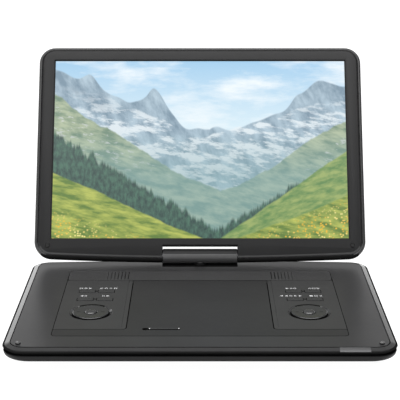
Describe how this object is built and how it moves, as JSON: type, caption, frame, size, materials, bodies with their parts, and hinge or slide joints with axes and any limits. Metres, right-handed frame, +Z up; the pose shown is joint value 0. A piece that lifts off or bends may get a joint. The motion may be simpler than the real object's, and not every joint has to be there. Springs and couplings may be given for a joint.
{
  "type": "portable disc player",
  "caption": "Flat player with a lidded disc bay, two control pads, keys and speakers, and a wide screen on a hinge that tilts and swivels.",
  "frame": {"origin": "centre of the bounding box at the soles of the feet, with the screen open at rest", "axes": "+X to the right as the user sees it, +Y from the front edge towards the screen, +Z up"},
  "size_m": [0.3434, 0.33, 0.2293],
  "materials": {
    "case": "satin dark grey moulding",
    "black_plastic": "satin black moulding",
    "rubber": "matte",
    "steel": "bright",
    "board": "green circuit board",
    "display": "glossy display panel",
    "battery": "laminated foil pouch",
    "badge": "blank brushed plate"
  },
  "bodies": {
    "base": {"base_top_cover": "case", "base_bottom_cover": "case", "left_control_panel": "case", "right_control_panel": "case", "rear_speaker_strip": "case", "disc_deck": "case", "left_speaker": "black_plastic", "right_speaker": "black_plastic", "dc_jack": "black_plastic", "av_jack": "black_plastic", "headphone_jack": "black_plastic", "card_slot": "black_plastic", "foot_front_left": "rubber", "foot_front_right": "rubber", "foot_rear_left": "rubber", "foot_rear_right": "rubber", "front_bumper_left": "rubber", "front_bumper_right": "rubber", "drive_frame": "steel", "spindle_motor": "steel", "guide_rod_left": "steel", "guide_rod_right": "steel", "swivel_bearing": "steel", "usb_port": "steel", "main_board": "board", "left_key_board": "board", "right_key_board": "board", "battery_pack": "battery", "badge_plate": "badge"},
    "swivel_hinge": {"hinge_barrel": "case"},
    "screen": {"tilt_shaft": "steel", "screen_bezel": "black_plastic", "screen_back_cover": "case", "lcd_panel": "display", "display_board": "board", "screen_bumper_left": "rubber", "screen_bumper_right": "rubber", "hinge_bracket_left": "steel", "hinge_bracket_right": "steel"},
    "disc_lid": {"disc_lid": "case"},
    "lid_release": {"lid_release_slider": "black_plastic"},
    "spindle": {"spindle_hub": "black_plastic"},
    "drive_screw": {"lead_screw": "steel"},
    "pickup": {"pickup_sled": "black_plastic"},
    "power_slider": {"power_switch": "black_plastic"},
    "volume_roller": {"volume_wheel": "black_plastic"},
    "left_pad_ring": {"left_pad_ring": "black_plastic"},
    "left_pad_carrier": {"left_pad_carrier": "black_plastic"},
    "left_pad_centre": {"left_pad_centre": "black_plastic"},
    "right_pad_ring": {"right_pad_ring": "black_plastic"},
    "right_pad_carrier": {"right_pad_carrier": "black_plastic"},
    "right_pad_centre": {"right_pad_centre": "black_plastic"},
    "left_key_front_inner": {"left_key_front_inner": "black_plastic"},
    "left_key_front_outer": {"left_key_front_outer": "black_plastic"},
    "left_key_rear_inner": {"left_key_rear_inner": "black_plastic"},
    "left_key_rear_outer": {"left_key_rear_outer": "black_plastic"},
    "right_key_front_inner": {"right_key_front_inner": "black_plastic"},
    "right_key_front_outer": {"right_key_front_outer": "black_plastic"},
    "right_key_rear_inner": {"right_key_rear_inner": "black_plastic"},
    "right_key_rear_outer": {"right_key_rear_outer": "black_plastic"}
  },
  "joints": [
    {"name": "screen_swivel", "type": "hinge", "parent": "base", "child": "swivel_hinge", "pos_m": [0, 0.05531, 0.024], "axis": [0, 0, 1], "range_deg": [-180, 0]},
    {"name": "screen_tilt", "type": "hinge", "parent": "swivel_hinge", "child": "screen", "pos_m": [0, 0.05531, 0.0326], "axis": [-1, 0, 0], "range_deg": [-118.4, 61.6]},
    {"name": "disc_lid_hinge", "type": "hinge", "parent": "base", "child": "disc_lid", "pos_m": [0, 0.00471, 0.0224], "axis": [-1, 0, 0], "range_deg": [0, 62]},
    {"name": "lid_release_slide", "type": "slide", "parent": "disc_lid", "child": "lid_release", "axis": [-1, 0, 0], "range_m": [0, 0.005], "stiffness_N_per_m": 80},
    {"name": "spindle_spin", "type": "hinge", "parent": "base", "child": "spindle", "pos_m": [0, -0.06269, 0.013], "axis": [0, 0, 1], "continuous": true},
    {"name": "lead_screw_turn", "type": "hinge", "parent": "base", "child": "drive_screw", "pos_m": [0.027, -0.12069, 0.0095], "axis": [0, 1, 0], "range_deg": [0, 3132]},
    {"name": "pickup_travel", "type": "slide", "parent": "base", "child": "pickup", "axis": [0, -1, 0], "range_m": [0, 0.026]},
    {"name": "power_switch_slide", "type": "slide", "parent": "base", "child": "power_slider", "axis": [0, 1, 0], "range_m": [0, 0.004]},
    {"name": "volume_roll", "type": "hinge", "parent": "base", "child": "volume_roller", "pos_m": [-0.1612, -0.08919, 0.0131], "axis": [0, 0, 1], "range_deg": [-135, 135]},
    {"name": "left_pad_rock_sideways", "type": "hinge", "parent": "base", "child": "left_pad_carrier", "pos_m": [-0.1, -0.07769, 0.021], "axis": [0, 1, 0], "range_deg": [-2.5, 2.5], "stiffness_Nm_per_rad": 0.6},
    {"name": "left_pad_rock_lengthways", "type": "hinge", "parent": "left_pad_carrier", "child": "left_pad_ring", "pos_m": [-0.1, -0.07769, 0.021], "axis": [1, 0, 0], "range_deg": [-2.5, 2.5], "stiffness_Nm_per_rad": 0.6},
    {"name": "left_pad_centre_press", "type": "slide", "parent": "base", "child": "left_pad_centre", "axis": [0, 0, -1], "range_m": [0, 0.0007], "stiffness_N_per_m": 250},
    {"name": "right_pad_rock_sideways", "type": "hinge", "parent": "base", "child": "right_pad_carrier", "pos_m": [0.1, -0.07769, 0.021], "axis": [0, 1, 0], "range_deg": [-2.5, 2.5], "stiffness_Nm_per_rad": 0.6},
    {"name": "right_pad_rock_lengthways", "type": "hinge", "parent": "right_pad_carrier", "child": "right_pad_ring", "pos_m": [0.1, -0.07769, 0.021], "axis": [1, 0, 0], "range_deg": [-2.5, 2.5], "stiffness_Nm_per_rad": 0.6},
    {"name": "right_pad_centre_press", "type": "slide", "parent": "base", "child": "right_pad_centre", "axis": [0, 0, -1], "range_m": [0, 0.0007], "stiffness_N_per_m": 250},
    {"name": "left_key_front_inner_press", "type": "slide", "parent": "base", "child": "left_key_front_inner", "axis": [0, 0, -1], "range_m": [0, 0.0007], "stiffness_N_per_m": 250},
    {"name": "left_key_front_outer_press", "type": "slide", "parent": "base", "child": "left_key_front_outer", "axis": [0, 0, -1], "range_m": [0, 0.0007], "stiffness_N_per_m": 250},
    {"name": "left_key_rear_inner_press", "type": "slide", "parent": "base", "child": "left_key_rear_inner", "axis": [0, 0, -1], "range_m": [0, 0.0007], "stiffness_N_per_m": 250},
    {"name": "left_key_rear_outer_press", "type": "slide", "parent": "base", "child": "left_key_rear_outer", "axis": [0, 0, -1], "range_m": [0, 0.0007], "stiffness_N_per_m": 250},
    {"name": "right_key_front_inner_press", "type": "slide", "parent": "base", "child": "right_key_front_inner", "axis": [0, 0, -1], "range_m": [0, 0.0007], "stiffness_N_per_m": 250},
    {"name": "right_key_front_outer_press", "type": "slide", "parent": "base", "child": "right_key_front_outer", "axis": [0, 0, -1], "range_m": [0, 0.0007], "stiffness_N_per_m": 250},
    {"name": "right_key_rear_inner_press", "type": "slide", "parent": "base", "child": "right_key_rear_inner", "axis": [0, 0, -1], "range_m": [0, 0.0007], "stiffness_N_per_m": 250},
    {"name": "right_key_rear_outer_press", "type": "slide", "parent": "base", "child": "right_key_rear_outer", "axis": [0, 0, -1], "range_m": [0, 0.0007], "stiffness_N_per_m": 250}
  ],
  "couplings": [
    {"joint": "lead_screw_turn", "follows": "pickup_travel", "rad_per_m": 2094.4}
  ]
}
